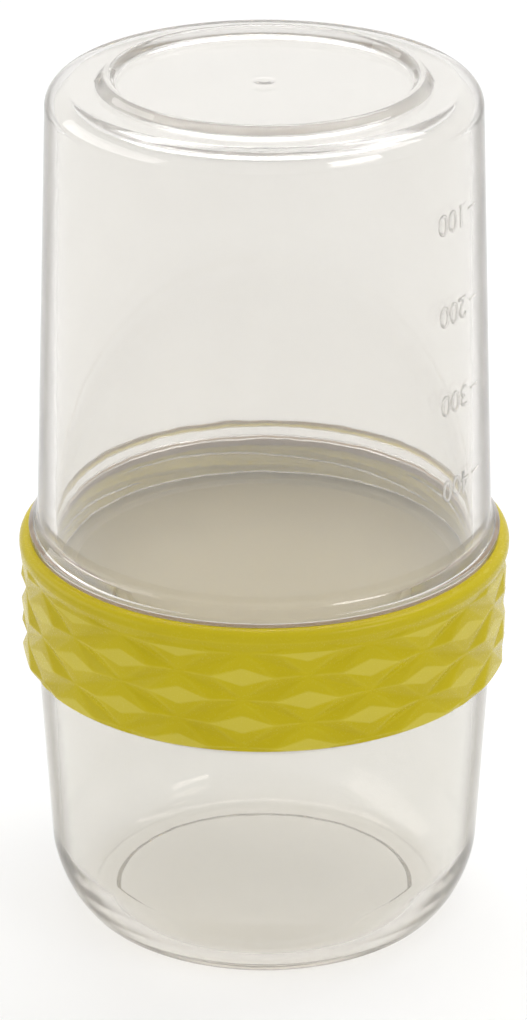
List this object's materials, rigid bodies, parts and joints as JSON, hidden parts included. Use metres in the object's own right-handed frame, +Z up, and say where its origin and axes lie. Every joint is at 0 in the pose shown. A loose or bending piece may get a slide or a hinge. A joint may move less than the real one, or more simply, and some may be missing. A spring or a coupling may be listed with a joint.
{
  "type": "chip and dip server",
  "caption": "Portable chip and dip server: a tall clear cup screwed upside down over a short clear cup, joined by a diamond-faceted green collar that holds a dividing disc and seals.",
  "frame": {"origin": "middle of the face that the dip cup stands on, on the turning axis", "axes": "+Z up along the axis that the cups and collar share, -Y towards the viewer of the front"},
  "size_m": [0.1, 0.1, 0.18],
  "materials": {
    "clear_cup": "clear, slightly hazy, polished",
    "clear_disc": "clear, hazy, satin",
    "green_collar": "satin moulded plastic, yellow-green",
    "silicone": "matt translucent silicone"
  },
  "bodies": {
    "dip_cup": {"dip_cup": "clear_cup"},
    "lower_seal": {"lower_seal": "silicone"},
    "collar": {"collar": "green_collar", "divider": "clear_disc"},
    "upper_seal": {"upper_seal": "silicone"},
    "chip_cup": {"chip_cup": "clear_cup"}
  },
  "joints": [
    {"name": "collar_lift", "type": "slide", "parent": "dip_cup", "child": "lower_seal", "axis": [0, 0, 1], "range_m": [0, 0.0155]},
    {"name": "collar_turn", "type": "hinge", "parent": "lower_seal", "child": "collar", "pos_m": [0, 0, 0.0718], "axis": [0, 0, 1], "range_deg": [0, 310]},
    {"name": "chip_cup_lift", "type": "slide", "parent": "collar", "child": "upper_seal", "axis": [0, 0, 1], "range_m": [0, 0.0085]},
    {"name": "chip_cup_turn", "type": "hinge", "parent": "upper_seal", "child": "chip_cup", "pos_m": [0, 0, 0.0831], "axis": [0, 0, 1], "range_deg": [0, 170]}
  ],
  "couplings": [
    {"joint": "collar_lift", "follows": "collar_turn", "m_per_rad": 0.0028648},
    {"joint": "chip_cup_lift", "follows": "chip_cup_turn", "m_per_rad": 0.0028648}
  ]
}
